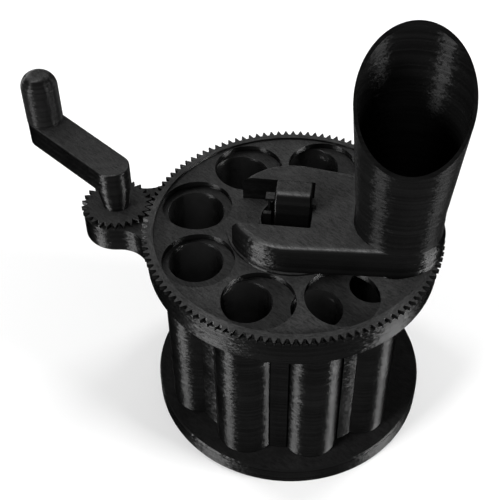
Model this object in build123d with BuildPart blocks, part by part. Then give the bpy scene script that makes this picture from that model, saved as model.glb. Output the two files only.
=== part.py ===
"""Hand-cranked coin sorter: coins drop from a hopper into a geared pocket wheel,
which carries them over graded holes into eight coin tubes.

Millimetres and degrees. +Z is up, the origin is the centre of the base's underside,
-Y is the front. The crank stands to the left of the wheel and the hopper to its right.
"""
from build123d import *
import os
from math import acos, atan2, cos, degrees, pi, radians, sin, tan

# Gears: the wheel's toothed ring and the crank's pinion
tooth_module = 1.0
wheel_teeth = 116
pinion_teeth = 26
tooth_backlash = 0.35        # thinning of each tooth at the pitch line
flank_angle = 22.0           # slope of the straight tooth flanks
tip_clearance = 0.25         # between one gear's tips and the other's roots
mesh_slack = 0.4             # by which the gears stand further apart than their pitch circles
pinion_bearing = 168.3       # direction of the crank's axle from the wheel's axis

# Drum: base, tubes and deck
base_height = 8.4
base_bevel = 0.6
deck_rim = 1.4               # thickness of the deck's rim round the wheel
deck_bottom = 78.9
deck_height = 9.6            # up to the floor that the coins slide on
deck_rim_height = 1.7        # rim round the wheel and the ear, above that floor
deck_bevel = 0.4
lobe_radius = 13.5           # the deck's ear under the pinion
lobe_blend = 12.0            # hollow corner between ear and rim
tube_offset = 0.2            # the tubes stand this much further out than the pockets
tube_bearings = (315.3, 280.7, 242.7, 201.8, 161.3, 120.0, 78.0, 35.0)
tube_bores = (16.8, 19.4, 20.2, 21.2, 22.8, 23.8, 24.9, 26.2)
tube_radii = (11.2, 11.3, 12.6, 12.8, 12.8, 13.2, 13.6, 14.3)
socket_depth = 3.0           # how far the tubes enter base and deck
socket_gap = 0.1
panel_radius = 46.1          # outside of the panels between the tubes
panel_wall = 1.5
panel_gap = 0.5              # between a panel and the tubes beside it
slit_bearing = 332.5         # the wide panel stops short of the smallest coins' tube
slit_radius = 5.3
column_radius = 10.0
pivot_hole_depth = 30.0      # threaded hole in the column for the tie screw
screw_radius = 2.0
screw_head_radius = 4.0
screw_head_height = 3.0
screw_head_recess = 0.6

# Wheel: toothed ring, pocket disc and bush
wheel_gap = 0.3              # running gap over the deck
wheel_height = 3.6
ring_wall = 2.25             # from the roots of the ring's teeth to the pocket disc
ring_skirt = 1.4             # thickness of the ring's lower part, inside the deck's rim
pocket_floor_drop = 1.0      # the pocket disc lies this far below the ring's top
boss_radius = 25.8
pocket_count = 8
pocket_bore = 28.0
pocket_rim = 0.4             # from a pocket to the disc's edge
pocket_bearing = 24.9
bush_wall = 1.9
running_gap = 0.08           # radial gap of turning fits

# Fixed centre post, over which the hopper arm drops
post_radius = 13.0
post_top = 96.5
post_wall = 0.6
post_floor = 86.0
post_flange_radius = 14.8
post_flange_height = 3.0
press_gap = 0.05

# Hopper arm and hopper
arm_bearing = -15.0
arm_gap = 0.4                # between the wheel's top and the arm
arm_height = 11.0
arm_hub_radius = 25.2
arm_foot_radius = 17.9       # round the hopper's foot
arm_shoulder = (24.0, 1.2)   # third corner of the arm's outline, behind the hopper
arm_shoulder_radius = 17.2
arm_edge_round = 3.5
slot_bearing = -7.5          # slot and latch stand at an angle to the arm
slot_shift = 0.8             # and a little behind the wheel's axis
slot_half_width = 12.8
slot_end = 7.6               # closed end of the slot
slot_corner = 0.6
hopper_circle = 40.5
hopper_radius = 16.75
hopper_wall = 1.3
hopper_seat_depth = 7.5      # how deep the hopper stands in the arm
hopper_throat_radius = 13.8
hopper_flare_start = 113.5
hopper_flare = 0.09          # growth of radius per millimetre of height
mouth_height = 158.0         # where the cut crosses the hopper's axis
mouth_tilt = 40.8
mouth_bearing = 262.0        # direction in which the mouth opens

# Latch tab that holds the arm down on the post
latch_width = 14.0
latch_depth = 10.4
latch_bottom = 96.0
latch_top = 111.0
latch_front_round = 5.0
latch_edge_round = 1.0
latch_leg_thickness = 1.4
latch_leg_width = 9.0
latch_root_radius = 1.5
latch_root_gap = 0.05
latch_root_rise = 0.2        # centre of the root above the post's floor
leaf_outside = 9.6           # spring leaf beside the block, from the latch's middle
leaf_thickness = 0.8
leaf_width = 3.8
leaf_bottom = 95.0
leaf_top = 107.0
leaf_bridge = 1.2            # joins the leaf's top to the block
nib_reach = 1.7
nib_height = 1.4
nib_width = 4.0
nib_gap = 0.3                # between nib and the arm's top
stop_rib = (-11.2, -8.3)     # from and to, along the slot
stop_rib_side = (-3.9, -2.2) # from and to, across the slot
stop_rib_top = 101.0

# Crank
pinion_gap = 0.4             # over the deck's ear
crank_radius = 41.4
crank_bearing = 135.4
crank_arm_bottom = 102.1
crank_arm_height = 10.2
crank_arm_round = 0.8
crank_arm_bevel = 0.5
crank_hub_end_radius = 6.9
crank_knob_end_radius = 7.1
hub_foot_radius = 5.3
hub_spigot_radius = 4.0
hub_spigot_depth = 1.0
axle_radius = 2.5
axle_top = 109.0
retainer_radius = 4.5
retainer_height = 2.0
retainer_gap = 0.3
knob_radius = 7.3
knob_gap = 0.3
knob_top = 134.8
knob_dome = 6.3
knob_pin_radius = 2.0
knob_pin_head_radius = 3.6
knob_pin_head_height = 1.8
knob_pin_recess = 0.3
knob_pin_top = 128.5

# Places worked out from the sizes above
wheel_pitch_radius = wheel_teeth * tooth_module / 2
pinion_pitch_radius = pinion_teeth * tooth_module / 2
crank_distance = wheel_pitch_radius + pinion_pitch_radius + mesh_slack
ring_inner_radius = wheel_pitch_radius - tooth_module - tip_clearance - ring_wall
ring_skirt_radius = ring_inner_radius + ring_skirt
deck_radius = ring_skirt_radius + wheel_gap + deck_rim
base_radius = deck_radius
pocket_circle = ring_inner_radius - pocket_rim - pocket_bore / 2
tube_circle = pocket_circle + tube_offset
deck_floor = deck_bottom + deck_height
deck_top = deck_floor + deck_rim_height
socket_floor = base_height - socket_depth
tube_top = deck_bottom + socket_depth
wheel_bottom = deck_floor + wheel_gap
teeth_bottom = deck_top + wheel_gap
wheel_top = wheel_bottom + wheel_height
disc_top = wheel_top - pocket_floor_drop
bush_inner_radius = post_radius + running_gap
bush_outer_radius = bush_inner_radius + bush_wall
arm_bottom = wheel_top + arm_gap
arm_top = arm_bottom + arm_height
hopper_foot = arm_top - hopper_seat_depth
pinion_bottom = deck_top + pinion_gap
pinion_top = wheel_top
crank_arm_top = crank_arm_bottom + crank_arm_height
knob_bottom = crank_arm_top + knob_gap


def polar(radius, bearing):
    """Point at a distance and direction from the wheel's axis."""
    return (radius * cos(radians(bearing)), radius * sin(radians(bearing)))


def gear_points(teeth, tooth_bearing):
    """Outline of a straight-flanked gear with one tooth centred on a direction."""
    pitch_radius = teeth * tooth_module / 2
    root_depth = tooth_module + tip_clearance
    half_at_pitch = (pi * tooth_module / 2 - tooth_backlash) / 2
    half_at_tip = half_at_pitch - tooth_module * tan(radians(flank_angle))
    half_at_root = half_at_pitch + root_depth * tan(radians(flank_angle))
    root = pitch_radius - root_depth
    tip = pitch_radius + tooth_module
    corners = ((root, -half_at_root), (tip, -half_at_tip), (tip, half_at_tip), (root, half_at_root))
    points = []
    for tooth in range(teeth):
        middle = radians(tooth_bearing) + tooth * 2 * pi / teeth
        for radius, offset in corners:
            angle = middle + offset / radius
            points.append((radius * cos(angle), radius * sin(angle)))
    return points


crank_place = polar(crank_distance, pinion_bearing)
crank_reach = polar(crank_radius, crank_bearing)
knob_place = (crank_place[0] + crank_reach[0], crank_place[1] + crank_reach[1])
hopper_place = polar(hopper_circle, arm_bearing)
tube_places = [polar(tube_circle, bearing) for bearing in tube_bearings]
tubes = list(zip(tube_places, tube_bores, tube_radii))
blend_reach = deck_radius + lobe_blend
blend_turn = degrees(
    acos(
        (blend_reach**2 + crank_distance**2 - (lobe_radius + lobe_blend) ** 2)
        / (2 * blend_reach * crank_distance)
    )
)
blend_places = [polar(blend_reach, pinion_bearing + turn) for turn in (blend_turn, -blend_turn)]
along_slot = Vector(cos(radians(slot_bearing)), sin(radians(slot_bearing)), 0)
across_slot = Vector(-sin(radians(slot_bearing)), cos(radians(slot_bearing)), 0)
slot_frame = Plane(origin=across_slot * slot_shift, x_dir=along_slot, z_dir=(0, 0, 1))
latch_side = Plane(origin=across_slot * slot_shift, x_dir=across_slot, z_dir=along_slot)
os.makedirs("parts", exist_ok=True)


def save(piece, name):
    """Label a finished piece and write it under its own name."""
    piece.label = name
    export_step(piece, f"parts/{name}.step")


# Base: a plain disc with ring grooves for the tubes and a recess for the tie screw's head
with BuildPart() as base_plate:
    with BuildSketch():
        Circle(base_radius)
    extrude(amount=base_height)
    chamfer(base_plate.edges().filter_by(GeomType.CIRCLE), base_bevel)
    for place, bore, radius in tubes:
        with BuildSketch(Plane.XY.offset(base_height)):
            with Locations(place):
                Circle(radius + socket_gap)
                Circle(bore / 2 - socket_gap, mode=Mode.SUBTRACT)
        extrude(amount=-socket_depth, mode=Mode.SUBTRACT)
    with BuildSketch():
        Circle(screw_radius)
    extrude(amount=base_height, mode=Mode.SUBTRACT)
    with BuildSketch():
        Circle(screw_head_radius + socket_gap)
    extrude(amount=screw_head_recess + screw_head_height, mode=Mode.SUBTRACT)
save(base_plate.part, "base_plate")

# Panels that close the drum between the tubes, clamped between base and deck
with BuildSketch(Plane.XY.offset(base_height)) as panel_ring:
    Circle(panel_radius)
    Circle(panel_radius - panel_wall, mode=Mode.SUBTRACT)
    for place, bore, radius in tubes:
        with Locations(place):
            Circle(radius + panel_gap, mode=Mode.SUBTRACT)
    with Locations(polar(panel_radius - panel_wall / 2, slit_bearing)):
        Circle(slit_radius, mode=Mode.SUBTRACT)
panel_feet = panel_ring.sketch.faces()
panel_feet = panel_feet.sort_by(lambda foot: atan2(foot.center().Y, foot.center().X))
for index, foot in enumerate(panel_feet):
    with BuildPart() as side_panel:
        extrude(foot, amount=deck_bottom - base_height)
    save(side_panel.part, f"side_panel_{index + 1}")

# Coin tubes, one for each size of coin, from the smallest up
for index, (place, bore, radius) in enumerate(tubes):
    with BuildPart() as coin_tube:
        with BuildSketch(Plane.XY.offset(socket_floor)):
            with Locations(place):
                Circle(radius)
                Circle(bore / 2, mode=Mode.SUBTRACT)
        extrude(amount=tube_top - socket_floor)
    save(coin_tube.part, f"coin_tube_{index + 1}")

# Centre column between base and post, threaded for the tie screw
with BuildPart() as centre_column:
    with BuildSketch(Plane.XY.offset(base_height)):
        Circle(column_radius)
    extrude(amount=deck_bottom - base_height)
    with BuildSketch(Plane.XY.offset(base_height)):
        Circle(screw_radius)
    extrude(amount=pivot_hole_depth, mode=Mode.SUBTRACT)
save(centre_column.part, "centre_column")

# Tie screw from below, head sunk in the base
with BuildPart() as tie_screw:
    with BuildSketch(Plane.XY.offset(screw_head_recess)):
        Circle(screw_head_radius)
        RegularPolygon(screw_radius, 6, major_radius=False, mode=Mode.SUBTRACT)
    extrude(amount=screw_head_height / 2)
    with BuildSketch(Plane.XY.offset(screw_head_recess + screw_head_height / 2)):
        Circle(screw_head_radius)
    extrude(amount=screw_head_height / 2)
    with BuildSketch(Plane.XY.offset(screw_head_recess + screw_head_height)):
        Circle(screw_radius)
    extrude(amount=base_height + pivot_hole_depth - screw_head_recess - screw_head_height)
save(tie_screw.part, "tie_screw")

# Deck: graded coin holes over the tubes, recess for the wheel, bore for the post,
# ear with the crank's bearing
with BuildPart() as deck_plate:
    with BuildSketch(Plane.XY.offset(deck_bottom)):
        with BuildLine():
            Polyline((0, 0), blend_places[0], crank_place, blend_places[1], close=True)
        make_face()
        with Locations(*blend_places):
            Circle(lobe_blend, mode=Mode.SUBTRACT)
        Circle(deck_radius)
        with Locations(crank_place):
            Circle(lobe_radius)
    extrude(amount=deck_height + deck_rim_height)
    chamfer(deck_plate.faces().sort_by(Axis.Z)[0].edges(), deck_bevel)
    with BuildSketch(Plane.XY.offset(deck_floor)):
        Circle(ring_skirt_radius + wheel_gap)
    extrude(amount=deck_rim_height, mode=Mode.SUBTRACT)
    for place, bore, radius in tubes:
        with BuildSketch(Plane.XY.offset(deck_bottom)):
            with Locations(place):
                Circle(bore / 2)
        extrude(amount=deck_height, mode=Mode.SUBTRACT)
        with BuildSketch(Plane.XY.offset(deck_bottom)):
            with Locations(place):
                Circle(radius + socket_gap)
        extrude(amount=socket_depth, mode=Mode.SUBTRACT)
    with BuildSketch(Plane.XY.offset(deck_bottom)):
        Circle(post_radius + press_gap)
        with Locations(crank_place):
            Circle(axle_radius + running_gap)
    extrude(amount=deck_height + deck_rim_height, mode=Mode.SUBTRACT)
    with BuildSketch(Plane.XY.offset(deck_bottom)):
        Circle(post_flange_radius + press_gap)
    extrude(amount=post_flange_height, mode=Mode.SUBTRACT)
save(deck_plate.part, "deck_plate")

# Centre post: a thin-walled cup with a flange below, the latch's seat and a stop rib inside
with BuildPart() as centre_post:
    with BuildSketch(Plane.XY.offset(deck_bottom)):
        Circle(post_flange_radius)
    extrude(amount=post_flange_height)
    with BuildSketch(Plane.XY.offset(deck_bottom)):
        Circle(post_radius)
    extrude(amount=post_top - deck_bottom)
    with BuildSketch(Plane.XY.offset(post_floor)):
        Circle(post_radius - post_wall)
    extrude(amount=post_top - post_floor, mode=Mode.SUBTRACT)
    with BuildSketch(slot_frame.offset(post_floor)):
        with Locations((sum(stop_rib) / 2, sum(stop_rib_side) / 2)):
            Rectangle(stop_rib[1] - stop_rib[0], stop_rib_side[1] - stop_rib_side[0])
    extrude(amount=stop_rib_top - post_floor)
    with Locations(slot_frame.offset(post_floor + latch_root_rise)):
        Cylinder(
            latch_root_radius + latch_root_gap,
            latch_leg_width + 2 * socket_gap,
            rotation=(90, 0, 0),
            mode=Mode.SUBTRACT,
        )
save(centre_post.part, "centre_post")

# Latch tab: a thumb block on a springy leg, with a spring leaf on its left
# and a nib that reaches over the arm's edge on its right
with BuildPart() as latch_tab:
    with BuildSketch(latch_side) as latch_profile:
        with Locations((0, (latch_bottom + latch_top) / 2)):
            Rectangle(latch_depth, latch_top - latch_bottom)
        front_corner = latch_profile.vertices().group_by(Axis.Y)[-1].sort_by(Axis.X)[0]
        fillet(front_corner, latch_front_round)
        back_corner = latch_profile.vertices().group_by(Axis.Y)[-1].sort_by(Axis.X)[-1]
        fillet(back_corner, latch_edge_round)
    extrude(amount=latch_width / 2, both=True)
    side_faces = latch_tab.faces().sort_by(Axis((0, 0, 0), along_slot))
    fillet(side_faces[0].edges() + side_faces[-1].edges(), latch_edge_round * 0.9)
    with BuildSketch(slot_frame.offset(post_floor + latch_root_rise)):
        Rectangle(latch_leg_thickness, latch_leg_width)
    extrude(until=Until.NEXT)
    with Locations(slot_frame.offset(post_floor + latch_root_rise)):
        Cylinder(latch_root_radius, latch_leg_width, rotation=(90, 0, 0))
    with BuildSketch(slot_frame.offset(arm_top + nib_gap)):
        with Locations((latch_width / 2 + nib_reach / 2 - latch_edge_round, 0)):
            Rectangle(nib_reach + 2 * latch_edge_round, nib_width)
    extrude(amount=nib_height)
    with BuildSketch(slot_frame.offset(leaf_top - leaf_bridge)):
        with Locations((-(leaf_outside + latch_width / 2) / 2, 0)):
            Rectangle(leaf_outside - latch_width / 2 + 2 * latch_edge_round, leaf_width)
    extrude(amount=leaf_bridge)
    with BuildSketch(slot_frame.offset(leaf_bottom)):
        with Locations((leaf_thickness / 2 - leaf_outside, 0)):
            Rectangle(leaf_thickness, leaf_width)
    extrude(amount=leaf_top - leaf_bottom)
save(latch_tab.part, "latch_tab")

# Wheel, in three pieces: toothed ring, pocket disc and the bush that turns on the post
with BuildPart() as toothed_ring:
    with BuildSketch(Plane.XY.offset(teeth_bottom)):
        with BuildLine():
            Polyline(*gear_points(wheel_teeth, pinion_bearing), close=True)
        make_face()
        Circle(ring_inner_radius, mode=Mode.SUBTRACT)
    extrude(amount=wheel_top - teeth_bottom)
    with BuildSketch(Plane.XY.offset(wheel_bottom)):
        Circle(ring_skirt_radius)
        Circle(ring_inner_radius, mode=Mode.SUBTRACT)
    extrude(amount=teeth_bottom - wheel_bottom)
save(toothed_ring.part, "toothed_ring")

with BuildPart() as pocket_disc:
    with BuildSketch(Plane.XY.offset(wheel_bottom)):
        Circle(ring_inner_radius)
        Circle(bush_outer_radius, mode=Mode.SUBTRACT)
        with PolarLocations(pocket_circle, pocket_count, start_angle=pocket_bearing):
            Circle(pocket_bore / 2, mode=Mode.SUBTRACT)
    extrude(amount=wheel_height - pocket_floor_drop)
    with BuildSketch(Plane.XY.offset(disc_top)):
        Circle(boss_radius)
        Circle(bush_outer_radius, mode=Mode.SUBTRACT)
    extrude(amount=pocket_floor_drop)
save(pocket_disc.part, "pocket_disc")

with BuildPart() as hub_bush:
    with BuildSketch(Plane.XY.offset(wheel_bottom)):
        Circle(bush_outer_radius)
        Circle(bush_inner_radius, mode=Mode.SUBTRACT)
    extrude(amount=wheel_height)
save(hub_bush.part, "hub_bush")

# Hopper arm: slotted hub over the post, round foot that holds the hopper over the wheel
with BuildPart() as hopper_arm:
    with BuildSketch(Plane.XY.offset(arm_bottom)):
        with BuildLine():
            CenterArc((0, 0), arm_hub_radius, 0, 360)
            CenterArc(hopper_place, arm_foot_radius, 0, 360)
            CenterArc(arm_shoulder, arm_shoulder_radius, 0, 360)
        make_hull()
    extrude(amount=arm_height)
    fillet(hopper_arm.faces().sort_by(Axis.Z)[-1].edges(), arm_edge_round)
    with BuildSketch(slot_frame.offset(arm_bottom)) as slot:
        with Locations((slot_end - arm_hub_radius, 0)):
            Rectangle(2 * arm_hub_radius, 2 * slot_half_width)
        fillet(slot.vertices(), slot_corner)
    extrude(amount=arm_height, mode=Mode.SUBTRACT)
    with BuildSketch(Plane.XY.offset(arm_bottom)):
        Circle(post_radius + socket_gap)
    extrude(amount=post_top - arm_bottom, mode=Mode.SUBTRACT)
    with BuildSketch(Plane.XY.offset(arm_bottom)):
        with Locations(hopper_place):
            Circle(hopper_throat_radius)
    extrude(amount=arm_height, mode=Mode.SUBTRACT)
    with BuildSketch(Plane.XY.offset(hopper_foot)):
        with Locations(hopper_place):
            Circle(hopper_radius + press_gap)
    extrude(amount=hopper_seat_depth, mode=Mode.SUBTRACT)
save(hopper_arm.part, "hopper_arm")

# Hopper: a straight foot that flares above, cut off at a slant so that the mouth faces front
hopper_rim = mouth_height + (hopper_radius + hopper_wall) * 2 * tan(radians(mouth_tilt))
rim_radius = hopper_radius + (hopper_rim - hopper_flare_start) * hopper_flare
mouth_normal = Vector(
    sin(radians(mouth_tilt)) * cos(radians(mouth_bearing)),
    sin(radians(mouth_tilt)) * sin(radians(mouth_bearing)),
    cos(radians(mouth_tilt)),
)
with BuildPart() as hopper_tube:
    with BuildSketch(Plane(origin=(*hopper_place, 0), x_dir=(1, 0, 0), z_dir=(0, -1, 0))):
        with BuildLine():
            Polyline(
                (hopper_radius - hopper_wall, hopper_foot),
                (hopper_radius, hopper_foot),
                (hopper_radius, hopper_flare_start),
                (rim_radius, hopper_rim),
                (rim_radius - hopper_wall, hopper_rim),
                (hopper_radius - hopper_wall, hopper_flare_start),
                close=True,
            )
        make_face()
    revolve(axis=Axis((*hopper_place, 0), (0, 0, 1)))
    split(
        bisect_by=Plane(origin=(*hopper_place, mouth_height), z_dir=mouth_normal),
        keep=Keep.BOTTOM,
    )
save(hopper_tube.part, "hopper_tube")

# Crank: pinion, arm with hub, axle with its retainer under the deck's ear, and knob on a pin
with BuildPart() as crank_pinion:
    with BuildSketch(Plane(origin=(*crank_place, pinion_bottom))):
        with BuildLine():
            Polyline(*gear_points(pinion_teeth, pinion_bearing + 180 + 180 / pinion_teeth), close=True)
        make_face()
        Circle(axle_radius, mode=Mode.SUBTRACT)
    extrude(amount=pinion_top - pinion_bottom)
    with BuildSketch(Plane.XY.offset(pinion_top)):
        with Locations(crank_place):
            Circle(hub_spigot_radius)
    extrude(amount=-hub_spigot_depth, mode=Mode.SUBTRACT)
save(crank_pinion.part, "crank_pinion")

with BuildPart() as crank_arm:
    with BuildSketch(Plane.XY.offset(crank_arm_bottom)):
        with BuildLine():
            CenterArc(crank_place, crank_hub_end_radius, 0, 360)
            CenterArc(knob_place, crank_knob_end_radius, 0, 360)
        make_hull()
    extrude(amount=crank_arm_height)
    fillet(crank_arm.faces().sort_by(Axis.Z)[-1].edges(), crank_arm_round)
    chamfer(crank_arm.faces().sort_by(Axis.Z)[0].edges(), crank_arm_bevel)
    with BuildSketch(Plane.XY.offset(pinion_top)):
        with Locations(crank_place):
            Circle(hub_foot_radius)
    with BuildSketch(Plane.XY.offset(crank_arm_bottom + crank_arm_bevel)):
        with Locations(crank_place):
            Circle(crank_hub_end_radius)
    loft()
    with BuildSketch(Plane.XY.offset(pinion_top)):
        with Locations(crank_place):
            Circle(hub_spigot_radius)
    extrude(amount=-hub_spigot_depth)
    with BuildSketch(Plane.XY.offset(pinion_top - hub_spigot_depth)):
        with Locations(crank_place):
            Circle(axle_radius)
    extrude(amount=axle_top - pinion_top + hub_spigot_depth, mode=Mode.SUBTRACT)
    with BuildSketch(Plane.XY.offset(crank_arm_bottom)):
        with Locations(knob_place):
            Circle(knob_pin_radius)
    extrude(amount=crank_arm_height, mode=Mode.SUBTRACT)
    with BuildSketch(Plane.XY.offset(crank_arm_bottom)):
        with Locations(knob_place):
            Circle(knob_pin_head_radius)
    extrude(amount=knob_pin_recess + knob_pin_head_height, mode=Mode.SUBTRACT)
save(crank_arm.part, "crank_arm")

axle_bottom = deck_bottom - retainer_gap - retainer_height
with BuildPart() as crank_axle:
    with BuildSketch(Plane.XY.offset(axle_bottom)):
        with Locations(crank_place):
            Circle(axle_radius)
    extrude(amount=axle_top - axle_bottom)
save(crank_axle.part, "crank_axle")

with BuildPart() as axle_retainer:
    with BuildSketch(Plane.XY.offset(axle_bottom)):
        with Locations(crank_place):
            Circle(retainer_radius)
            Circle(axle_radius, mode=Mode.SUBTRACT)
    extrude(amount=retainer_height)
save(axle_retainer.part, "axle_retainer")

with BuildPart() as knob_pin:
    with BuildSketch(Plane.XY.offset(crank_arm_bottom + knob_pin_recess)):
        with Locations(knob_place):
            Circle(knob_pin_head_radius)
    extrude(amount=knob_pin_head_height)
    with BuildSketch(Plane.XY.offset(crank_arm_bottom + knob_pin_recess + knob_pin_head_height)):
        with Locations(knob_place):
            Circle(knob_pin_radius)
    extrude(amount=knob_pin_top - crank_arm_bottom - knob_pin_recess - knob_pin_head_height)
save(knob_pin.part, "knob_pin")

with BuildPart() as crank_knob:
    with BuildSketch(Plane.XY.offset(knob_bottom)):
        with Locations(knob_place):
            Circle(knob_radius)
    extrude(amount=knob_top - knob_bottom)
    fillet(crank_knob.faces().sort_by(Axis.Z)[-1].edges(), knob_dome)
    chamfer(crank_knob.faces().sort_by(Axis.Z)[0].edges(), crank_arm_bevel)
    with BuildSketch(Plane.XY.offset(knob_bottom)):
        with Locations(knob_place):
            Circle(knob_pin_radius + running_gap)
    extrude(amount=knob_pin_top + knob_gap - knob_bottom, mode=Mode.SUBTRACT)
save(crank_knob.part, "crank_knob")
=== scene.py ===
"""Hand-cranked coin sorter, dressed as a black layer-printed machine under soft studio light.

Metres and degrees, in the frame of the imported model: +Z up, -Y towards the front.
"""
import bpy
from math import cos, pi, radians, sin
from mathutils import Matrix, Vector


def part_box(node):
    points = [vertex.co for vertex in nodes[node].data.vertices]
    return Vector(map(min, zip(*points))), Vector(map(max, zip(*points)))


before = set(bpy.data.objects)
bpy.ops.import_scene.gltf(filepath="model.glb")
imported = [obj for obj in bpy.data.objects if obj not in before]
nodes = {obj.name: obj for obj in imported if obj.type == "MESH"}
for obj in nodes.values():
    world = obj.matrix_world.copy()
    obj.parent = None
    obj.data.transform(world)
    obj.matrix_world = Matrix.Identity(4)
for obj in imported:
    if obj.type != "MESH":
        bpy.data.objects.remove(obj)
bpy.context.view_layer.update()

# Camera, at the photograph's viewing angle
camera_place = Vector((-0.0167, -0.2784, 0.3629))
camera_tilt = 44.48          # from straight down towards the horizon
camera_roll = -0.55
camera_lens = 71.6
camera_sensor = 36.0

# Floor and surroundings
world_level = 0.15           # light from all round; where it is seen, it is white
floor_colour = 0.68
floor_roughness = 0.9
floor_lift = 0.08            # added where the floor is seen, so that it is white when bare
floor_far_lift = 0.95        # the same far out, where the lamps hardly reach
floor_near_radius = 0.6
floor_far_radius = 2.0
floor_size = 40.0

# Lamps: bearing and elevation from the object, size, power and distance
lamp_target = Vector((0, 0, 0.09))
lamp_distance = 1.6
top_lamp_distance = 1.8
lamps = {
    "key_left": (-144, 5, (0.62, 0.42), 92, lamp_distance),
    "key_right": (-21, 5, (0.8, 0.42), 104, lamp_distance),
    "back_right": (38, 5, (0.6, 0.42), 45, lamp_distance),
    "back_left": (146, 5, (0.6, 0.42), 45, lamp_distance),
    "top_back": (90, 50, (2.4, 1.6), 7, top_lamp_distance),
}

# Printed walls: layers, rows of layers that shine alike and bands that waver together
wall_slope = 0.78            # upward part of the normal up to which a face is all wall
top_slope = 0.95             # and from which it is all top
layer = 0.0003
layer_depth = 0.000012
row = 0.0006
row_spread = 7               # rows apart in the noise, as a multiple of their real distance
row_scale = 700.0
row_waver = 0.52             # how far the normals swing round the wall, in radians over the noise
row_contrast = 0.5
band = 0.0011
band_spread = 5
band_scale = 260.0
band_waver = 0.1
wall_roughness = 0.43
stretch = 1.0                # how much the grooves stretch the highlights across them

# Flat tops: lines of filament, or rings of it, with patches and speckle
infill_angle = 45.0
base_infill_angle = 50.0
line_width = 0.0005
line_depth = 0.000014
patch_scale = 300.0
patch_depth = 0.00002
grain = 2600.0
grain_contrast = 1.7
top_roughness = 0.5
top_shine = 0.5              # share of a flat top's colour that is shine

# Colours; a wall's finish is its colour and the share of that colour that is shine
wall_finish = (0.011, 1.0)
knob_finish = (0.007, 0.65)
hopper_finish = (0.0045, 0.7)
bore_painted_light = (0.036, 0.95)  # painted light: a lighter, shinier black on the inner walls of the coins' bores, which the light hardly reaches
# painted sheen: flat tops get a lighter black than the walls, for the sheen the light from above
# gives them
top_black_painted_sheen = 0.04
# painted shade: the base plate's tops get a darker black than other tops, for the drum's shade and
# dark reflection on them
base_black_painted_shade = 0.006
gloss_level = 0.04
stain_scale = 60.0
stain_contrast = 0.8
stain_roughness = 0.2

# Bores
tube_count = 8
deck_bore = (0, 0, 0.0535)   # middle of the deck, and the radius within which its bores lie
tube_skin = 0.0006           # from a tube's outside to inside its wall

# Brushed steel
steel_tone = 0.55
steel_roughness = 0.35
steel_spread = 0.2
brush_scale = 900.0
brush_stretch = (1, 1, 12)


class Shader:
    """Node tree of one material or world, with short calls for the nodes that it needs."""

    def __init__(self, name, world=None):
        self.owner = world or bpy.data.materials.new(name)
        self.owner.use_nodes = True
        self.tree = self.owner.node_tree
        self.surface = self.tree.nodes["Background" if world else "Principled BSDF"]

    def add(self, kind, inputs=(), **settings):
        """A node of this kind; inputs are numbers, vectors or sockets by name or place."""
        made = self.tree.nodes.new(kind)
        for key, value in settings.items():
            setattr(made, key, value)
        self.feed(made, inputs)
        return made

    def feed(self, node, inputs):
        """Gives a node's inputs their values, or links them to sockets."""
        for key, value in dict(inputs).items():
            if isinstance(value, bpy.types.NodeSocket):
                self.tree.links.new(value, node.inputs[key])
            else:
                node.inputs[key].default_value = value

    def math(self, operation, first, second=0.0):
        return self.add("ShaderNodeMath", {0: first, 1: second}, operation=operation).outputs[0]

    def vector(self, operation, *inputs):
        """Vector maths; SCALE takes its factor from the fourth input."""
        places = (0, 3) if operation == "SCALE" else (0, 1)
        made = self.add("ShaderNodeVectorMath", zip(places, inputs), operation=operation)
        return made.outputs["Value" if operation in ("DOT_PRODUCT", "LENGTH") else "Vector"]

    def point(self, x, y, z=0.0):
        return self.add("ShaderNodeCombineXYZ", {0: x, 1: y, 2: z}).outputs[0]

    def split(self, place):
        return self.add("ShaderNodeSeparateXYZ", {0: place}).outputs

    def grey(self, tone):
        return self.point(tone, tone, tone)

    def around(self, value, spread, middle=1.0):
        """A number from 0 to 1, spread about another one."""
        offset = self.math("MULTIPLY", self.math("SUBTRACT", value, 0.5), spread)
        return self.math("ADD", offset, middle)

    def step(self, value, width):
        """Which step of this width the value is on."""
        return self.math("FLOOR", self.math("DIVIDE", value, width))

    def ripple(self, value, width):
        """Rounded ridges of this width, from 0 to 1."""
        turn = self.math("MULTIPLY", self.math("DIVIDE", value, width), pi)
        return self.math("ABSOLUTE", self.math("SINE", turn))

    def noise(self, place, scale, detail=2.0):
        inputs = {"Vector": place, "Scale": scale, "Detail": detail}
        return self.add("ShaderNodeTexNoise", inputs).outputs["Fac"]

    def ramp(self, value, low, high, start=0.0, end=1.0):
        inputs = {0: value, 1: low, 2: high, 3: start, 4: end}
        return self.add("ShaderNodeMapRange", inputs).outputs[0]

    def blend(self, share, first, second, vectors=False):
        """Mix of two numbers or of two vectors."""
        made = self.add("ShaderNodeMix", data_type="VECTOR" if vectors else "FLOAT")
        self.feed(made, zip((0, 4, 5) if vectors else (0, 2, 3), (share, first, second)))
        return made.outputs[1 if vectors else 0]

    def seen(self):
        """1 for rays that show a surface: to the camera, or by way of a mirror or of glass."""
        path = self.add("ShaderNodeLightPath").outputs
        by_gloss = self.math("MAXIMUM", path["Is Glossy Ray"], path["Is Transmission Ray"])
        return self.math("MAXIMUM", path["Is Camera Ray"], by_gloss)


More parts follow.
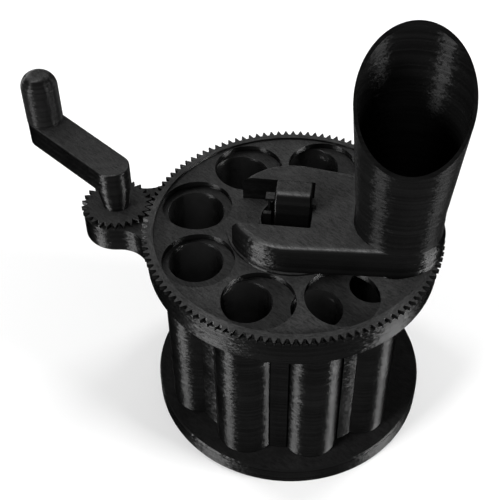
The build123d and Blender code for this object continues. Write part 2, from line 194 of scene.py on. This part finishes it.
def printed(name, rings=None, infill=infill_angle, top=top_black_painted_sheen, wall=wall_finish, bore=None):
    """Black print: layers on walls; on flat tops straight lines at an angle, or rings.

    rings is their middle. bore is the middle and the reach of walls that get the bores' painted
    light.
    """
    s = Shader(name)
    place = s.add("ShaderNodeTexCoord").outputs["Object"]
    x, y, z = s.split(place)
    normal = s.add("ShaderNodeNewGeometry").outputs["Normal"]
    flat = s.ramp(s.math("ABSOLUTE", s.split(normal)[2]), wall_slope, top_slope)

    # Walls: rounded layers, whose normals waver round the wall
    band_height = s.math("MULTIPLY", s.step(z, band), band * band_spread)
    row_height = s.math("MULTIPLY", s.step(z, row), row * row_spread)
    band_swing = s.around(s.noise(s.point(x, y, band_height), band_scale), band_waver, 0.0)
    swing = s.around(s.noise(s.point(x, y, row_height), row_scale), row_waver, band_swing)
    swing = s.math("MULTIPLY", swing, s.math("SUBTRACT", 1.0, flat))
    round_wall = s.vector("CROSS_PRODUCT", (0, 0, 1), normal)
    swung = s.vector("NORMALIZE", s.vector("ADD", normal, s.vector("SCALE", round_wall, swing)))
    wall_height = s.math("MULTIPLY", s.ripple(z, layer), layer_depth)

    # Tops: lines of filament, which run at right angles to outward
    if rings:
        offset = s.vector("SUBTRACT", s.point(x, y), (*rings, 0))
        across = s.vector("LENGTH", offset)
        outward = s.vector("NORMALIZE", offset)
    else:
        outward = s.point(cos(radians(infill)), sin(radians(infill)))
        across = s.vector("DOT_PRODUCT", place, outward)
    patch = s.noise(s.point(x, y, s.step(across, line_width)), patch_scale)
    ridge = s.math("MULTIPLY", s.ripple(across, line_width), line_depth)
    top_height = s.math("ADD", ridge, s.math("MULTIPLY", patch, patch_depth))

    # Colour and shine
    stain = s.noise(place, stain_scale, detail=5.0)
    rows = s.add("ShaderNodeTexWhiteNoise", {"W": s.step(z, row)}, noise_dimensions="1D").outputs[0]
    wall_depth = s.math("MULTIPLY", s.around(rows, row_contrast), wall[0])
    wall_shine = wall[1]
    # Painted light: walls inside a bore get a lighter, shinier black, as the lamps hardly reach
    # them
    if bore:
        away = s.vector("LENGTH", s.vector("SUBTRACT", s.point(x, y), (*bore[:2], 0)))
        painted_light_mask = s.math("LESS_THAN", away, bore[2])
        wall_depth = s.blend(painted_light_mask, wall_depth, bore_painted_light[0])
        wall_shine = s.blend(painted_light_mask, wall_shine, bore_painted_light[1])
    speckle = s.math("ADD", s.noise(place, grain, detail=1.0), patch)
    speckle = s.around(s.math("SUBTRACT", speckle, 0.5), grain_contrast)
    # Flat tops take the top colour: a lighter black as painted sheen, or on the base a darker one
    # as painted shade
    depth = s.blend(flat, wall_depth, s.math("MULTIPLY", speckle, top))
    depth = s.math("MULTIPLY", depth, s.around(stain, stain_contrast))
    roughness = s.blend(flat, wall_roughness, top_roughness)

    height = s.blend(flat, wall_height, top_height)
    bump = s.add("ShaderNodeBump", {"Distance": 1.0, "Height": height, "Normal": swung})
    s.feed(s.surface, {
        "Base Color": s.grey(depth),
        "Roughness": s.around(stain, stain_roughness, roughness),
        "Metallic": s.blend(flat, wall_shine, top_shine),
        "Specular Tint": (0, 0, 0, 1),
        "Specular IOR Level": gloss_level,
        "Normal": bump.outputs[0],
        "Anisotropic": stretch,
        "Tangent": s.blend(flat, (0, 0, 1), outward, vectors=True),
    })
    return s.owner


def steel(name):
    """Brushed steel."""
    s = Shader(name)
    place = s.add("ShaderNodeTexCoord").outputs["Object"]
    brushed = s.noise(s.vector("MULTIPLY", place, brush_stretch), brush_scale, detail=3.0)
    s.feed(s.surface, {
        "Base Color": s.grey(s.around(brushed, steel_spread, steel_tone)),
        "Roughness": s.around(brushed, steel_spread, steel_roughness),
        "Metallic": 1.0,
    })
    return s.owner


def studio_floor():
    """Matt floor, white to the eye, with the object's shadow on it."""
    s = Shader("studio_floor")
    distance = s.vector("LENGTH", s.add("ShaderNodeTexCoord").outputs["Object"])
    lift = s.ramp(distance, floor_near_radius, floor_far_radius, floor_lift, floor_far_lift)
    s.feed(s.surface, {
        "Base Color": (floor_colour,) * 3 + (1,),
        "Roughness": floor_roughness,
        "Specular IOR Level": 0.0,
        "Emission Color": (1, 1, 1, 1),
        "Emission Strength": s.math("MULTIPLY", s.seen(), lift),
    })
    return s.owner


def dress(node, material):
    """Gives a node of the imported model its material."""
    slots = nodes[node].data.materials
    slots.clear()
    slots.append(material)


def bore_of(node):
    """Middle of an upright tube and the radius within which its wall is the inner one."""
    low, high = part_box(node)
    return (low[0] + high[0]) / 2, (low[1] + high[1]) / 2, (high[0] - low[0]) / 2 - tube_skin


def lamp(name, bearing, elevation, size, power, distance):
    """Rectangular soft light that faces the object's middle."""
    level = cos(radians(elevation))
    direction = Vector((
        cos(radians(bearing)) * level,
        sin(radians(bearing)) * level,
        sin(radians(elevation)),
    ))
    data = bpy.data.lights.new(name, "AREA")
    data.shape = "RECTANGLE"
    data.size, data.size_y = size
    data.energy = power
    light = bpy.data.objects.new(name, data)
    light.location = lamp_target + direction * distance
    light.rotation_mode = "QUATERNION"
    light.rotation_quaternion = (-direction).to_track_quat("-Z", "Y")
    bpy.context.scene.collection.objects.link(light)


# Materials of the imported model's nodes
plain_print = printed("print_plain")
for node in nodes:
    dress(node, plain_print)
dress("toothed_ring", printed("print_rings", rings=(0, 0)))
# Base plate: darker tops as painted shade
dress("base_plate", printed("print_base", infill=base_infill_angle, top=base_black_painted_shade))
# Deck: painted light on the inner walls of its bores
dress("deck_plate", printed("print_deck", bore=deck_bore))
dress("crank_knob", printed("print_knob", wall=knob_finish))
dress("hopper_tube", printed("print_hopper", wall=hopper_finish))
# Tubes: painted light on the inner walls of their bores
for index in range(1, tube_count + 1):
    tube = f"coin_tube_{index}"
    dress(tube, printed(f"print_tube_{index}", bore=bore_of(tube)))
brushed_steel = steel("brushed_steel")
for node in ("tie_screw", "crank_axle", "axle_retainer", "knob_pin"):
    dress(node, brushed_steel)

# Floor, lamps and world
bpy.ops.mesh.primitive_plane_add(size=floor_size, location=(0, 0, 0))
floor = bpy.context.object
floor.name = "studio_floor"
floor.data.materials.append(studio_floor())
for name, facts in lamps.items():
    lamp(name, *facts)
world = bpy.data.worlds.new("studio")
sky = Shader("studio", world=world)
sky_strength = sky.blend(sky.seen(), world_level, 1.0)
sky.feed(sky.surface, {"Color": (1, 1, 1, 1), "Strength": sky_strength})
bpy.context.scene.world = world

# Camera
camera_data = bpy.data.cameras.new("camera")
camera_data.sensor_width = camera_sensor
camera_data.lens = camera_lens
camera = bpy.data.objects.new("camera", camera_data)
camera.matrix_world = (
    Matrix.Translation(camera_place)
    @ Matrix.Rotation(radians(camera_tilt), 4, "X")
    @ Matrix.Rotation(radians(camera_roll), 4, "Z")
)
bpy.context.scene.collection.objects.link(camera)
bpy.context.scene.camera = camera
bpy.context.scene.view_settings.view_transform = "Standard"
